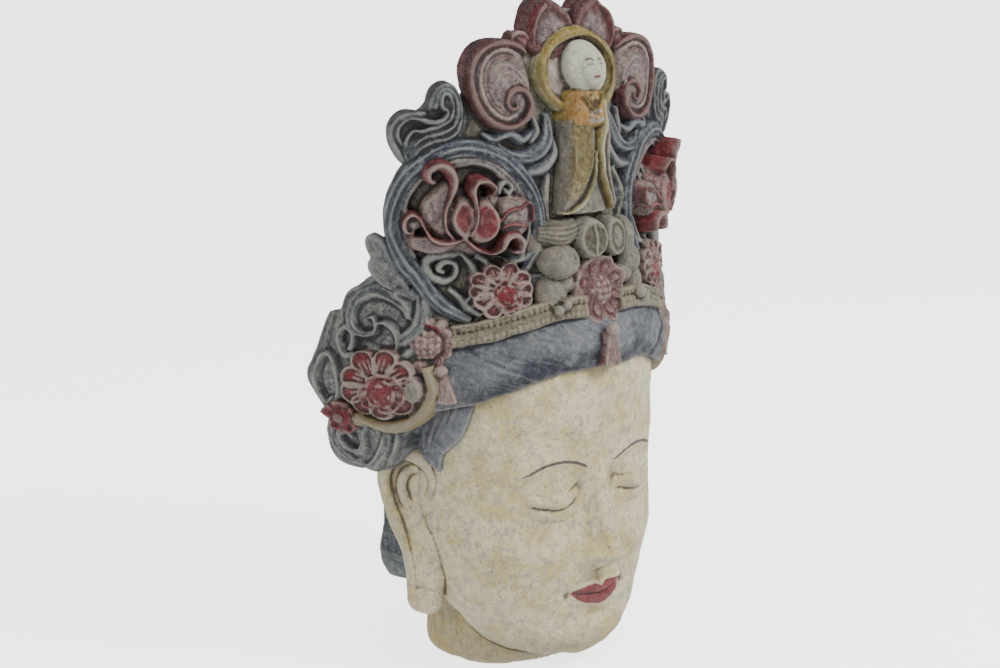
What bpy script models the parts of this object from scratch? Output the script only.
"""Head of a bodhisattva under a tall carved crown, one casting with a flat underside and a flat back.

The face looks along -Y, +Z is up, and the origin is on the underside of the neck. The forms are
drawn in millimetres for a head 520 mm tall, on three curved sheets (crown, band and side hair), and
MM turns the drawing into metres.
"""

import math

import bmesh
import bpy
import numpy as np

HEIGHT = 0.520  # underside of the neck to the top of the crest
BACK = 0.050  # flat back, behind the line through the two ears
CROWN_WALL = 0.020  # the crown's plain wall behind its carving
NECK_WIDTH = 0.150  # across the neck, just above the rounded bottom edge
BOTTOM_EDGE = 0.012  # radius of that rounded edge
GRAIN = 0.0026  # grid on which the modelled forms are melted into one body
MOST_TRIANGLES = 9300

DRAWN_HEIGHT = 520.0
MM = HEIGHT / DRAWN_HEIGHT
BACK_MM = BACK / MM
WALL_MM = CROWN_WALL / MM
OVERRUN_MM = 12.0  # the forms run this far past the two flat cuts
RIGHT, LEFT = 1, -1  # the figure's own sides; the drawing shows the right one


# Curves and numbers

def smoothstep(low, high, x):
    t = np.clip((np.asarray(x, float) - low) / (high - low), 0, 1)
    return t * t * (3 - 2 * t)


def mound(x, z, middle_x, middle_z, wide, tall):
    """1 at the middle, falling away like a bell."""
    return np.exp(-(((x - middle_x) / wide) ** 2) - ((z - middle_z) / tall) ** 2)


def through(points, count):
    """A smooth curve with count points that passes through the given ones."""
    p = np.asarray(points, float)
    p = np.vstack([2 * p[0] - p[1], p, 2 * p[-1] - p[-2]])
    t = np.linspace(0, len(p) - 3, count)
    i = np.minimum(t.astype(int), len(p) - 4)
    t = (t - i)[:, None]
    a, b, c, d = p[i], p[i + 1], p[i + 2], p[i + 3]
    return 0.5 * (2 * b + (c - a) * t + (2 * a - 5 * b + 4 * c - d) * t**2 + (3 * b - a - 3 * c + d) * t**3)


def along(values, count):
    """The values, spread evenly over count points and rounded between."""
    return through([[v] for v in values], count)[:, 0]


def arc(middle, radii, start, end, count):
    """Part of an ellipse, or a spiral where radii holds a first and a last pair. Angles in degrees."""
    t = np.linspace(0, 1, count)[:, None]
    angle = np.radians(start + (end - start) * t)
    first, last = np.broadcast_to(radii, (2, 2)) if np.ndim(radii) < 2 else radii
    radius = np.asarray(first) * (1 - t) + np.asarray(last) * t
    return np.asarray(middle) + radius * np.hstack([np.cos(angle), np.sin(angle)])


# The curved sheets: across, up and outwards in drawing millimetres, to x, y, z

def on_crown(across, up, out):
    above = up - 310.0
    radius = 166.5 + 0.289 * above + 0.00449 * np.maximum(above, 0) ** 2
    front = -93.6 + 0.145 * above
    angle = across / radius
    x = (radius + out) * np.sin(angle)
    y = front + radius - (radius + out) * np.cos(angle)
    return np.stack(np.broadcast_arrays(x, y, up), -1)


BAND_RADIUS = 140.0  # across / BAND_RADIUS is the turn round the head, in radians


def on_band(across, up, out):
    turn = across / BAND_RADIUS
    radius = 128 + 13 * (np.degrees(turn) / 61) ** 2 + out
    x, y = radius * np.sin(turn), 15 - radius * np.cos(turn)
    return np.stack(np.broadcast_arrays(x, y, up), -1)


def on_side(across, up, out):
    """The band's sheet, drawn in towards the top and bottom of the hair over the ears."""
    sunk = 28 * (np.abs(up - 250) / 90.0) ** 2.5
    return on_band(across, up, out - sunk)


def local(sheet, across, up, lift=0.0, turn=0.0, side=RIGHT):
    """A patch of a sheet round one point, turned by degrees; the left side mirrors the right."""
    c, s = math.cos(math.radians(turn)), math.sin(math.radians(turn))

    def patch(x, y, out):
        x, y = np.asarray(x, float), np.asarray(y, float)
        return sheet(side * (across + c * x - s * y), up + s * x + c * y, lift + out)

    return patch


def mirrored(sheet, side):
    return local(sheet, 0.0, 0.0, side=side)


# Closed shells

class Clay:
    """Closed shells in one mesh. They overlap, and the remesh later melts them into one body."""

    def __init__(self):
        self.points, self.faces = [], []

    def add(self, points, faces):
        start = len(self.points)
        self.points += points.reshape(-1, 3).tolist()
        self.faces += [[start + i for i in face] for face in faces]

    def slab(self, top, bottom):
        """Joins two grids of the same size along their four borders."""
        n, m = top.shape[:2]
        below = n * m
        quads = [
            [i * m + j, i * m + j + 1, (i + 1) * m + j + 1, (i + 1) * m + j]
            for i in range(n - 1)
            for j in range(m - 1)
        ]
        border = [(0, j) for j in range(m)] + [(i, m - 1) for i in range(1, n)]
        border += [(n - 1, j) for j in range(m - 2, -1, -1)] + [(i, 0) for i in range(n - 2, 0, -1)]
        rim = [i * m + j for i, j in border]
        sides = [[a, b, b + below, a + below] for a, b in zip(rim, rim[1:] + rim[:1])]
        floor = [[i + below for i in reversed(q)] for q in quads]
        self.add(np.concatenate([top.reshape(-1, 3), bottom.reshape(-1, 3)]), quads + floor + sides)

    def loft(self, rings):
        """Skins a stack of rings, each closed, and caps both ends."""
        n, m = rings.shape[:2]
        faces = [
            [i * m + j, i * m + (j + 1) % m, (i + 1) * m + (j + 1) % m, (i + 1) * m + j]
            for i in range(n - 1)
            for j in range(m)
        ]
        self.add(rings, faces + [list(range(m))[::-1], [(n - 1) * m + j for j in range(m)]])

    def ribbon(self, sheet, path, width, height, depth=8.0, across=7, round_off=0.9):
        """A strip that follows a path on a sheet. width runs from its middle to its edge."""
        path = np.asarray(path, float)
        n = len(path)
        width, height = (along(v, n) if np.ndim(v) else np.full(n, v) for v in (width, height))
        run = np.gradient(path, axis=0)
        run /= np.maximum(np.linalg.norm(run, axis=1, keepdims=True), 1e-9)
        v = np.linspace(-1, 1, across)
        a = path[:, :1] - run[:, 1:] * width[:, None] * v
        b = path[:, 1:] + run[:, :1] * width[:, None] * v
        rise = height[:, None] * np.sqrt(1 - round_off * v**2)
        self.slab(sheet(a, b, rise), sheet(a, b, np.full_like(rise, -depth)))

    def petal(self, sheet, root, tip, width, height, rim=0.35, blunt=0.75, depth=8.0, steps=(7, 7)):
        """A rounded leaf from root to tip with a raised rim. rim is how much lower its middle lies."""
        root, tip = np.asarray(root, float), np.asarray(tip, float)
        u, v = np.linspace(0.02, 0.98, steps[0])[:, None], np.linspace(-1, 1, steps[1])[None, :]
        run = tip - root
        side = np.array([-run[1], run[0]]) / max(np.hypot(*run), 1e-9)
        spread = width * np.sin(np.pi * u ** (1 / blunt) ) ** 0.6 * np.ones_like(v)
        a = root[0] + run[0] * u + side[0] * spread * v
        b = root[1] + run[1] * u + side[1] * spread * v
        hollow = rim * np.exp(-((v / 0.55) ** 2)) * np.sin(np.pi * u)
        rise = height * (0.45 + 0.55 * u) * (np.sqrt(1 - 0.8 * v**2) - hollow)
        self.slab(sheet(a, b, rise), sheet(a, b, np.full_like(rise, -depth)))

    def ball(self, sheet, middle, radii, steps=(8, 12)):
        lat = np.linspace(-np.pi / 2 + 0.05, np.pi / 2 - 0.05, steps[0])[:, None]
        lon = np.linspace(0, 2 * np.pi, steps[1], endpoint=False)[None, :]
        a = middle[0] + radii[0] * np.cos(lat) * np.cos(lon)
        b = middle[1] + radii[1] * np.cos(lat) * np.sin(lon)
        out = middle[2] + radii[2] * np.sin(lat) * np.ones_like(lon)
        self.loft(sheet(a, b, out))

    def to_object(self, name):
        mesh = bpy.data.meshes.new(name)
        mesh.from_pydata((np.array(self.points) * MM).tolist(), [], self.faces)
        made = bpy.data.objects.new(name, mesh)
        bpy.context.scene.collection.objects.link(made)
        return made


def plain_space(across, up, out):
    """Straight room for forms that lie on no sheet: across is x, up is z and out is -y."""
    return np.stack(np.broadcast_arrays(across, -np.asarray(out), up), -1)


# Face, head and neck

HEAD_LEVELS = (8, 12, 20, 34, 52, 74, 100, 130, 165, 200, 235, 270, 300)
HEAD_HALF_WIDTHS = (14, 38, 56, 72, 85, 95, 102, 106, 107, 107, 105, 96, 75)
HEAD_SQUARENESS = 0.85  # 1 is an ellipse seen from above, less is fuller at the cheeks
HEAD_FRONTS = (-82, -92, -99, -103, -104, -105, -107, -105, -107, -111, -110, -100, -78)
HEAD_WIDEST = (-58, -54, -48, -42, -36, -30, -25, -20, -16, -12, -10, -8, -5)


def squared(share):
    return np.sign(share) * np.abs(share) ** HEAD_SQUARENESS


def on_head(across, up, out):
    """The front half of the plain head. across / 100 is the turn in radians."""
    s, c = np.sin(across / 100), np.cos(across / 100)
    half, front, widest = (
        np.interp(up, HEAD_LEVELS, v) for v in (HEAD_HALF_WIDTHS, HEAD_FRONTS, HEAD_WIDEST)
    )
    x, y = half * squared(s) + out * s, widest + (front - widest) * squared(c) - out * c
    return np.stack(np.broadcast_arrays(x, y, up), -1)


def face_relief(x, z):
    """How far the features stand out of the plain oval, in drawing millimetres."""
    s = np.abs(x)
    ridge = np.interp(z, (83, 90, 98, 106, 122, 140, 156, 172), (0, 13, 24, 23, 16.5, 10, 5, 0))
    half = np.interp(z, (88, 100, 116, 135, 156, 172), (13, 12, 9, 7.5, 7, 12))
    relief = ridge * np.exp(-((s / half) ** 2.2))
    relief = relief + 9 * mound(s, z, 13, 97, 7, 8)
    relief = relief - 6 * mound(s, z, 21, 152, 12, 13) + 6.5 * mound(s, z, 43, 148, 22, 13)
    lid = 146 - 5 * (1 - ((s - 43) / 23) ** 2)
    on_eye = smoothstep(1.0, 0.6, np.abs(s - 43) / 24)
    relief = relief + on_eye * 2.0 * np.where(
        z > lid, np.exp(-(z - lid) / 9), -0.6 * np.exp(-(((z - lid) / 3) ** 2))
    )
    brow = 166 + 10 * np.sin(np.pi * np.clip((s - 12) / 60, 0, 1))
    relief = relief + 2.5 * mound(z, 0, brow + 2, 0, 7, 1) * smoothstep(8, 20, s) * smoothstep(80, 60, s)
    mouth = 65 + 2.5 * (s / 26) ** 2
    on_mouth = np.clip(1 - (s / 28) ** 2, 0, 1)
    lips = 6 * np.exp(-(((z - mouth - 4) / 4) ** 2)) + 7 * np.exp(-(((z - mouth + 5) / 4.5) ** 2))
    relief = relief + on_mouth * (lips - 3 * np.exp(-(((z - mouth) / 1.8) ** 2)))
    relief = relief + 7 * mound(x, z, 0, 28, 22, 14) - 3 * mound(x, z, 0, 46, 22, 6)
    return relief + 4 * mound(s, z, 52, 104, 28, 30) - 2 * mound(s, z, 30, 66, 6, 8)


def add_head(clay, rows=110, columns=84):
    levels = through([[z] for z in HEAD_LEVELS], rows)[:, 0][:, None]
    half = np.interp(levels, HEAD_LEVELS, HEAD_HALF_WIDTHS)
    front = np.interp(levels, HEAD_LEVELS, HEAD_FRONTS)
    widest = np.interp(levels, HEAD_LEVELS, HEAD_WIDEST)
    back = BACK_MM + OVERRUN_MM
    turn = np.linspace(-np.pi, np.pi, columns, endpoint=False)[None, :]
    x, ahead = half * squared(np.sin(turn)), squared(np.cos(turn))
    behind = smoothstep(30, 110, levels) * (back - widest) * 0.9 + 12
    y = widest + np.where(ahead > 0, (front - widest) * ahead, -behind * ahead)
    y = y - face_relief(x, levels) * smoothstep(0.05, 0.5, ahead)
    clay.loft(np.stack(np.broadcast_arrays(x, y, levels), -1))


def add_neck(clay, columns=48):
    """A short neck, rounded at its bottom edge, running past the flat cuts below and behind."""
    turn = np.linspace(0, 2 * np.pi, columns, endpoint=False)
    half, edge = NECK_WIDTH / 2 / MM, BOTTOM_EDGE / MM
    rings = []
    for degrees in (0, 22.5, 45, 67.5, 90):
        inset = edge * (1 - math.sin(math.radians(degrees)))
        rings.append((edge * (1 - math.cos(math.radians(degrees))), half - inset, inset))
    rings = [(-OVERRUN_MM, half - edge, edge)] + rings + [(60, half + 3, 0), (125, half + 6, 0)]
    middle, front = -8, 66
    made = []
    for up, wide, inset in rings:
        deep = np.where(np.cos(turn) > 0, front - inset, BACK_MM + OVERRUN_MM)
        x, y = wide * np.sin(turn), middle - deep * np.cos(turn)
        made.append(np.stack([x, y, np.full_like(x, up)], -1))
    clay.loft(np.array(made))


EAR_ROOT = np.array([-98.0, -34.0])  # where the ear leaves the cheek, seen from above
EAR_OUTWARD, EAR_FACING = np.array([-0.55, 0.835]), np.array([-0.835, -0.55])


def on_ear(side):
    """The ear's own plane: from its root to its rim, up, and out of the plane."""

    def sheet(outward, up, out):
        x = EAR_ROOT[0] + EAR_OUTWARD[0] * outward + EAR_FACING[0] * out
        y = EAR_ROOT[1] + EAR_OUTWARD[1] * outward + EAR_FACING[1] * out
        return np.stack(np.broadcast_arrays(side * x, y, up), -1)

    return sheet


def add_ear(clay, side):
    sheet = on_ear(side)
    clay.ribbon(
        sheet,
        through([(20, 172), (24, 150), (22, 128), (16, 108), (13, 80), (13, 60)], 18),
        (14, 23, 21, 16, 14, 11),
        (0, -2, 0, 4, 5, 4),
        depth=9,
    )
    rim = [
        (9, 146), (6, 160), (13, 173), (27, 179), (40, 173), (46, 158),
        (43, 140), (36, 122), (29, 104), (25, 84), (22, 62),
    ]
    clay.ribbon(
        sheet,
        through(rim, 34),
        (3.5, 4.5, 5, 5, 5, 5, 4.5, 4.5, 4.5, 5, 5),
        (7, 9, 9, 9, 8, 8, 8, 7, 7, 6, 5),
        depth=7,
    )
    fold = [(25, 166), (35, 160), (36, 146), (30, 130), (21, 117), (13, 112)]
    clay.ribbon(sheet, through(fold, 18), (2.5, 3.5, 3.5, 3.5, 3.5, 3), (3, 6, 6, 6, 6, 4), depth=6)
    clay.ball(sheet, (14, 62, 0), (14, 13, 8))
    clay.ball(sheet, (5, 126, 2), (6, 9, 6))


# Hair

def band_low(across):
    return 246 - 25 * smoothstep(15, 62, np.degrees(np.abs(across) / BAND_RADIUS))


def band_high(across):
    return 287 - 18 * smoothstep(15, 60, np.degrees(np.abs(across) / BAND_RADIUS))


def add_hair(clay):
    """The plain forms under the carving: the cap, the band over the brow and the dome behind."""
    across = np.linspace(-210, 210, 40)[None, :]
    up = 240 + (80 - 34 * smoothstep(130, 205, np.abs(across))) * np.linspace(0, 1, 6)[:, None]
    inset = -14 + 0 * across * up
    clay.slab(
        on_band(across, up, inset),
        plain_space(across * 0.3, up, -(BACK_MM + OVERRUN_MM) + 0 * across * up),
    )
    edge = np.linspace(-152, 152, 56)[:, None]
    v = np.linspace(0, 1, 9)[None, :]
    up = band_low(edge) * (1 - v) + band_high(edge) * v
    swell = 3.5 * np.sqrt(np.clip(1 - (2 * v - 0.9) ** 2, 0, 1)) - 6 * v**4 - 1.5
    clay.slab(on_band(edge, up, swell + 0 * edge), on_band(edge, up, -22 + 0 * swell * edge))
    clay.ball(plain_space, (0, 300, -20), (84, 94, 98), steps=(12, 24))


def add_side_hair(clay, side):
    """The bunch over one ear: its core, curls, and the lock that falls behind the ear."""
    sheet = mirrored(on_side, side)
    clay.ball(mirrored(plain_space, side), (-108, 238, -16), (50, 60, 62), steps=(14, 22))
    clay.ball(mirrored(plain_space, side), (-90, 276, -18), (42, 38, 50), steps=(10, 18))
    clay.ball(mirrored(plain_space, side), (-118, 190, -38), (26, 32, 30), steps=(10, 16))
    curls = [
        (arc((-192, 288), ((17, 19), (3, 3)), -60, 560, 30), (4.5, 6, 5, 3.5), (5, 9, 8, 6)),
        (
            through([(-168, 318), (-184, 317), (-198, 309), (-205, 294), (-203, 282)], 14),
            (3, 6, 6, 4, 2),
            (3, 7, 7, 6, 3),
        ),
        (through([(-170, 318), (-168, 306), (-170, 292), (-180, 272)], 12), (2, 6, 6, 3), (2, 7, 7, 3)),
        (arc((-205, 271), ((10, 11), (2, 2)), 60, 540, 22), (3, 4, 3), (6, 9, 7)),
        (arc((-217, 246), (7, 24), 40, 400, 26), (4, 4.5, 4.5, 4), (7, 9, 9, 7)),
        (through([(-228, 286), (-230, 260), (-229, 230), (-222, 214)], 12), (4, 6, 6, 3), (4, 7, 7, 3)),
        (arc((-203, 190), ((16, 14), (3, 3)), 120, -420, 26), (4, 5.5, 5, 3), (6, 10, 9, 7)),
        (through([(-180, 203), (-182, 190), (-188, 176), (-200, 168)], 12), (4, 6, 6, 3), (4, 8, 8, 4)),
        (through([(-218, 206), (-224, 192), (-220, 178), (-208, 168)], 12), (4, 6, 6, 3), (4, 8, 8, 4)),
    ]
    for path, width, height in curls:
        clay.ribbon(sheet, path, width, height, depth=22)
    tab = [(-125, 232), (-130, 214), (-137, 198), (-139, 184), (-135, 170)]
    clay.ribbon(mirrored(on_head, side), through(tab, 14), (24, 22, 19, 12, 2), 5, round_off=0.3, across=9)
    nape = [(-74, 175), (-76, 140), (-79, 105), (-84, 76), (-80, 58)]
    for inward, shift in ((0, 0), (12, 4), (24, 6)):
        path = through([(x + inward, up - shift) for x, up in nape], 14)
        clay.ribbon(
            mirrored(plain_space, side),
            path,
            (11, 11, 10, 9, 4),
            -BACK_MM + 24 - inward / 3,
            depth=BACK_MM + OVERRUN_MM,
        )


# Crown

WALL_LEVELS = (262, 290, 310, 335, 360, 400, 428, 442, 455, 472, 486, 496, 510)
WALL_HALF_WIDTHS = (118, 132, 146, 151, 149, 140, 134, 106, 92, 80, 54, 38, 22)
RING_MIDDLE = (-100.0, 360.0)
RING_RADIUS = 54.0
RING_BAND = 7.0
LOTUS_LIFT = 7.0


def add_crown_wall(clay):
    up = np.linspace(WALL_LEVELS[0], WALL_LEVELS[-1], 34)[:, None]
    half = np.interp(up, WALL_LEVELS, WALL_HALF_WIDTHS)
    across = half * np.linspace(-1, 1, 44)[None, :]
    edge = np.abs(across) / half
    thin = 0.35 * smoothstep(0.75, 1.0, edge)
    out = -3.0 * smoothstep(0.9, 1.0, edge)
    clay.slab(on_crown(across, up, out), on_crown(across, up, -WALL_MM * (1 - thin)))


def add_ring(clay, side):
    """The round frame with its tail, the inner crescent and the knot of scrolls below."""
    sheet = mirrored(on_crown, side)
    round_part = arc(RING_MIDDLE, (RING_RADIUS, RING_RADIUS), -50, 222, 56)
    tail = through([round_part[-1], (-128, 304), (-112, 293), (-103, 288)], 12)[1:]
    path = np.vstack([round_part, tail])
    clay.ribbon(
        sheet,
        path,
        (3, RING_BAND, RING_BAND, RING_BAND, RING_BAND, 7.5, 3),
        (8, 11, 10, 9, 10, 10, 5),
        across=9,
    )
    clay.ribbon(sheet, arc(RING_MIDDLE, ((43, 43), (40, 40)), 105, 5, 20), (1.5, 4, 3.5, 2), (5, 8, 7, 5))
    clay.ribbon(sheet, arc((-62, 387), ((9, 9), (2, 2)), -60, 330, 14), 2.2, 6)
    clay.ribbon(sheet, arc((-117, 326), ((11, 9), (2, 2)), 200, -300, 22), 3, (6, 9, 7))
    clay.ribbon(sheet, through([(-104, 338), (-96, 326), (-96, 312), (-103, 302)], 10), (2, 5, 5, 2), 7)
    clay.ribbon(sheet, through([(-88, 333), (-82, 326), (-90, 318)], 8), 3.5, 7)
    clay.petal(sheet, (-150, 312), (-172, 352), 8, 9, rim=0.3)
    clay.petal(sheet, (-140, 300), (-173, 333), 9, 8, rim=0.3)
    clay.petal(sheet, (-118, 288), (-158, 308), 9, 7, rim=0.3)


def add_lotus(clay, side):
    sheet = local(on_crown, 0, 0, LOTUS_LIFT, side=side)
    clay.ball(sheet, (-101, 357, 0), (30, 22, 8))
    clay.petal(sheet, (-106, 344), (-120, 392), 13, 15, rim=0.3)
    clay.petal(sheet, (-104, 342), (-136, 352), 11, 12, rim=0.3)
    clay.petal(sheet, (-92, 342), (-58, 372), 13, 13, rim=0.3)
    clay.petal(sheet, (-96, 342), (-66, 340), 9, 12, rim=0.3)
    clay.petal(sheet, (-102, 343), (-103, 377), 8, 18, rim=0.35)
    clay.petal(sheet, (-94, 342), (-87, 374), 10, 19, rim=0.35)
    hooks = [
        [(-111, 352), (-108, 372), (-106, 388), (-111, 399), (-121, 401), (-127, 394), (-121, 390)],
        [(-95, 352), (-94, 373), (-96, 383), (-89, 389), (-81, 384), (-82, 376)],
        [(-102, 346), (-115, 345), (-127, 351), (-134, 363), (-141, 368), (-144, 361), (-138, 357)],
        [(-100, 346), (-90, 337), (-79, 337), (-73, 345), (-65, 348), (-60, 341), (-66, 335)],
    ]
    for hook in hooks:
        clay.ribbon(sheet, through(hook, 24), (2, 3, 3.2, 3, 2.6), (12, 16, 15, 14, 12))


def add_scrolls(clay, side):
    """The big volute beside the halo, the wave at the crown's corner and the swirl inside it."""
    sheet = mirrored(on_crown, side)
    clay.ball(sheet, (-69, 456, 0), (22, 26, 7))
    sweep = arc((-69, 455.5), ((22, 27), (24, 25)), 55, 270, 34)
    curl = arc((-57, 444), ((17, 17), (3, 3)), -105, 400, 34)
    clay.ribbon(
        sheet,
        np.vstack([sweep[:-3], curl[3:]]),
        (3, 6, 6, 6, 5, 4, 3, 2),
        (8, 12, 12, 12, 12, 12, 12, 11),
        across=7,
    )
    for radius in (21, 15, 9):
        clay.ribbon(sheet, arc((-64, 458), (radius, radius + 4), 150, 10, 14), (1.5, 2.2, 1.5), (7, 9, 7))
    clay.ball(sheet, (-50, 489, 1), (8, 8, 7))
    curl = arc((-107, 444), ((3, 3), (10, 11)), -200, 360, 24)
    foot = through([(-97, 441), (-102, 430), (-117, 426), (-131, 421), (-138, 406)], 14)
    strands = [
        (np.vstack([curl, foot[1:]]), (2, 3, 4, 4, 4, 2), (9, 11, 10, 8, 5)),
        (
            through([(-117, 448), (-122, 440), (-133, 440), (-143, 434), (-146, 424), (-140, 415)], 18),
            (3, 4.5, 4.5, 4.5, 4.5, 3),
            (8, 10, 10, 10, 9, 6),
        ),
        (
            through([(-110, 433), (-122, 433), (-134, 434), (-139, 427), (-134, 419)], 14),
            (2, 4, 4, 3.5, 2),
            (7, 10, 10, 8, 6),
        ),
        (
            through([(-31, 433), (-34, 420), (-42, 409), (-55, 405), (-67, 409), (-74, 418)], 18),
            (2, 5, 6, 5, 4, 2),
            (5, 9, 10, 9, 8, 5),
        ),
        (
            through([(-28, 418), (-29, 406), (-38, 396), (-52, 394), (-60, 399)], 14),
            (2, 4, 5, 4, 2),
            (4, 8, 8, 7, 4),
        ),
        (through([(-47, 421), (-60, 424), (-74, 417), (-84, 421)], 12), (2, 4, 4, 2), (5, 8, 8, 5)),
        (through([(-34, 390), (-38, 372), (-37, 352)], 10), (3, 4.5, 2), (4, 7, 4)),
    ]
    for path, width, height in strands:
        clay.ribbon(sheet, path, width, height)
    clay.petal(sheet, (-14, 478), (-27, 520), 20, 12, rim=0.4, blunt=0.9, depth=WALL_MM * 0.6)


# Flowers and tassels

def add_flower(clay, sheet, radius, petals, height, core=0.36, start=90.0, stretch=1.0, heart=True):
    """A round flower: petals on a low cushion, with a button or a smaller flower in the middle."""
    clay.ball(sheet, (0, 0, 0), (radius * 0.75, radius * 0.75 * stretch, height * 0.75))
    for k in range(petals):
        angle = math.radians(start + 360 * k / petals)
        c, s = math.cos(angle), math.sin(angle) * stretch
        width = math.pi * radius * 0.8 / petals
        clay.petal(
            sheet,
            (c * radius * 0.2, s * radius * 0.2),
            (c * radius, s * radius),
            width,
            height,
            rim=0.4,
            blunt=0.7,
            steps=(5, 5),
        )
    if heart:
        clay.ball(sheet, (0, 0, height * 0.7), (radius * core, radius * core * stretch, height * 0.5))


def add_tassel(clay, sheet, top, bottom, spread, strands=5):
    clay.ball(sheet, (top[0], top[1], 4), (5, 4.5, 5))
    for k in range(strands):
        share = 2 * k / (strands - 1) - 1
        path = [(top[0] + share * 3.5, top[1] - 3), (bottom[0] + share * spread, bottom[1])]
        clay.ribbon(sheet, through(path, 5), (1.7, 2.6), (5, 6), depth=6)


def add_side_flowers(clay, side):
    low = local(on_crown, -80, 311, 4, side=side)
    add_flower(clay, low, 22, 14, 9, core=0.1, stretch=0.9)
    add_flower(clay, local(on_crown, -76, 306, 9, side=side), 10.5, 6, 7)
    temple = mirrored(on_side, side)
    hoop = [(-151, 254), (-147, 238), (-154, 220), (-168, 209), (-185, 206), (-200, 214)]
    clay.ribbon(temple, through(hoop, 24), (5, 6, 6.5, 6.5, 6, 4), (7, 9, 9, 9, 9, 7), depth=22)
    clay.ball(temple, (-160, 234, 2), (10, 11, 8))
    add_flower(clay, local(on_side, -181, 240, 3, side=side), 26, 9, 12, core=0.1)
    add_flower(clay, local(on_side, -180, 236, 10, side=side), 13, 8, 8)
    add_flower(clay, local(on_side, -213, 213, 4, side=side), 12, 5, 8)
    add_flower(clay, local(on_band, -150, 272, -1, side=side), 19, 12, 8, core=0.62)
    add_tassel(clay, mirrored(on_band, side), (-141, 252), (-138, 227), 7)


def add_bead_rows(clay, side):
    """Two strings of small square beads along the top of the band."""
    sheet = mirrored(on_band, side)
    across = np.linspace(-132, -20, 30)
    for lift, sink in ((3.0, -5.0), (11.5, -8.0)):
        path = np.stack([across, band_high(across) + lift], -1)
        clay.ribbon(sheet, path, 3.4, sink + 5.0, depth=14)


# The small figure at the crown's front

def add_halo(clay):
    clay.ball(on_crown, (0, 465, 0), (37, 30, 8), steps=(8, 24))
    clay.ribbon(on_crown, arc((0, 465), (36, 29), -90, 272, 60), 4.2, 13)


def add_figure(clay):
    clay.ball(on_crown, (0, 470, 15), (15.5, 18, 13), steps=(10, 16))
    clay.ball(on_crown, (0, 488, 13), (7, 6, 6))
    body = [(0, 457), (0, 449), (0, 438), (0, 415), (0, 390), (0, 364)]
    clay.ribbon(on_crown, through(body, 22), (8, 19, 23, 21, 23, 29), (16, 16, 19, 16, 15, 15), across=11)
    left_sleeve = [(-16, 444), (-21, 425), (-16, 400), (-22, 380), (-27, 366)]
    right_sleeve = [(17, 444), (21, 425), (20, 400), (22, 380), (24, 364)]
    clay.ribbon(on_crown, through(left_sleeve, 14), (6, 8, 9, 6, 2), (17, 22, 20, 19, 17))
    clay.ribbon(on_crown, through(right_sleeve, 14), (6, 6, 4, 3, 2), (17, 22, 20, 19, 17))
    clay.ball(on_crown, (-1, 431, 20), (11, 7, 7))
    for across in (-7, 1, 9):
        clay.ribbon(on_crown, through([(across * 0.6, 415), (across, 366)], 8), (1.5, 3.5), (17, 18))


SEAT_LUMPS = (  # across, up, out, and the three radii
    (-8, 343, 10, 15, 17, 14),
    (16, 342, 10, 11, 17, 12),
    (33, 338, 7, 9, 18, 10),
    (-32, 347, 6, 17, 12, 11),
    (-35, 328, 8, 17, 13, 14),
    (-42, 303, 5, 13, 16, 10),
    (39, 322, 6, 12, 12, 9),
    (43, 303, 4, 12, 15, 9),
)


def add_front(clay):
    """What stands on the crown's middle line, from the crest down to the tassel."""
    add_halo(clay)
    add_figure(clay)
    for across, up, out, wide, tall, deep in SEAT_LUMPS:
        clay.ball(on_crown, (across, up, out), (wide, tall, deep), steps=(8, 14))
    add_flower(clay, local(on_crown, 0, 304, 8), 25, 8, 11)
    add_tassel(clay, local(on_band, 0, 0, 5), (-3, 277), (-2, 247), 9)


# One body from all of it

def drop_crumbs(mesh):
    """Keeps the largest connected skin; the rest are specks the remesh leaves inside folds."""
    work = bmesh.new()
    work.from_mesh(mesh)
    left, best = set(work.verts), []
    while left:
        island, front = [], [left.pop()]
        while front:
            vert = front.pop()
            island.append(vert)
            near = {edge.other_vert(vert) for edge in vert.link_edges} & left
            left -= near
            front += near
        best = max(best, island, key=len)
    keep = set(best)
    bmesh.ops.delete(work, geom=[vert for vert in work.verts if vert not in keep], context="VERTS")
    work.to_mesh(mesh)
    work.free()


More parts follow.
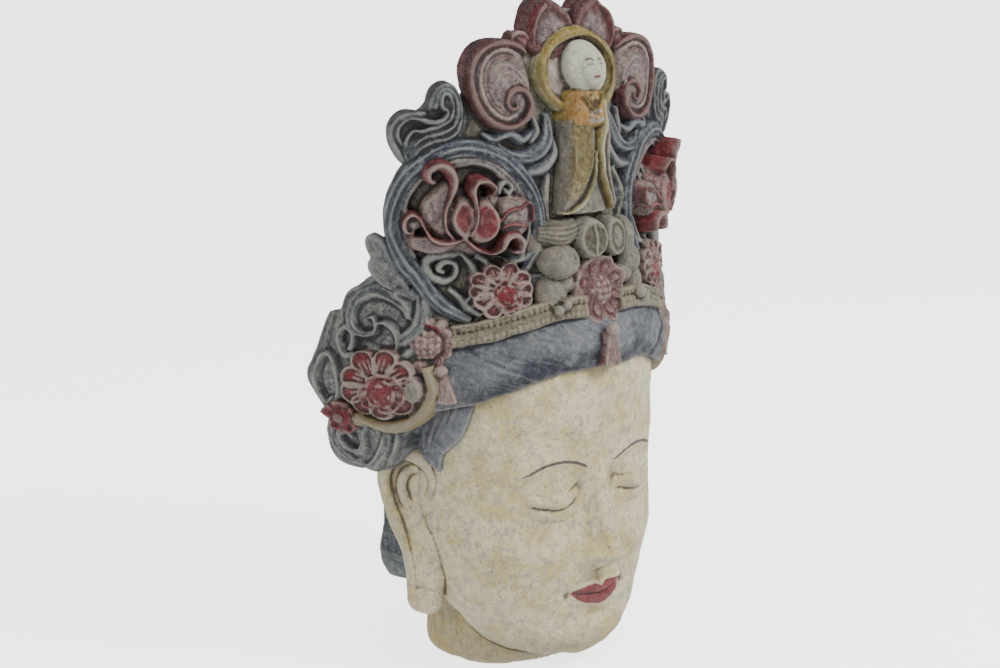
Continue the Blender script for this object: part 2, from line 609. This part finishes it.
def melt(source, name):
    """Remeshes the overlapping forms into one skin and thins it out to the triangles it may have."""
    remesh = source.modifiers.new("one skin", "REMESH")
    remesh.mode = "VOXEL"
    remesh.voxel_size = GRAIN
    soften = source.modifiers.new("soft creases", "SMOOTH")
    soften.factor, soften.iterations = 0.5, 2
    skin = baked(source)
    drop_crumbs(skin.data)
    thin = skin.modifiers.new("fewer faces", "DECIMATE")
    thin.ratio = MOST_TRIANGLES / (2 * len(skin.data.polygons))
    thin.use_collapse_triangulate = True
    body = baked(skin)
    body.name = name
    return body


def baked(source):
    """Swaps an object for its finished mesh."""
    graph = bpy.context.evaluated_depsgraph_get()
    made = bpy.data.objects.new(source.name, bpy.data.meshes.new_from_object(source.evaluated_get(graph)))
    bpy.context.scene.collection.objects.link(made)
    bpy.data.objects.remove(source)
    return made


def cut_flat(mesh):
    """A level underside at z = 0 and an upright back at y = BACK."""
    work = bmesh.new()
    work.from_mesh(mesh)
    for point, outward in (((0, 0, 0), (0, 0, -1)), ((0, BACK, 0), (0, 1, 0))):
        everything = work.verts[:] + work.edges[:] + work.faces[:]
        cut = bmesh.ops.bisect_plane(
            work, geom=everything, plane_co=point, plane_no=outward, clear_outer=True
        )
        border = [part for part in cut["geom_cut"] if isinstance(part, bmesh.types.BMEdge)]
        bmesh.ops.triangle_fill(work, edges=border, use_beauty=True, normal=outward)
    bmesh.ops.dissolve_degenerate(work, dist=0.00002, edges=work.edges[:])
    bmesh.ops.triangulate(work, faces=work.faces[:])
    bmesh.ops.recalc_face_normals(work, faces=work.faces[:])
    work.to_mesh(mesh)
    work.free()


def painted_stone():
    """Cream paint over cast stone, the colour of most of the head."""
    material = bpy.data.materials.new("painted cast stone")
    material.use_nodes = True
    shader = material.node_tree.nodes["Principled BSDF"]
    shader.inputs["Base Color"].default_value = (0.52, 0.49, 0.40, 1)
    shader.inputs["Roughness"].default_value = 0.8
    shader.inputs["Metallic"].default_value = 0.0
    return material


def main():
    for old in list(bpy.data.objects):
        bpy.data.objects.remove(old, do_unlink=True)
    clay = Clay()
    add_head(clay)
    add_neck(clay)
    add_hair(clay)
    add_crown_wall(clay)
    add_front(clay)
    for side in (RIGHT, LEFT):
        add_ear(clay, side)
        add_side_hair(clay, side)
        add_ring(clay, side)
        add_lotus(clay, side)
        add_scrolls(clay, side)
        add_side_flowers(clay, side)
        add_bead_rows(clay, side)
    body = melt(clay.to_object("modelled_forms"), "buddha_head")
    cut_flat(body.data)
    body.data.materials.append(painted_stone())
    body.data.shade_smooth()


main()
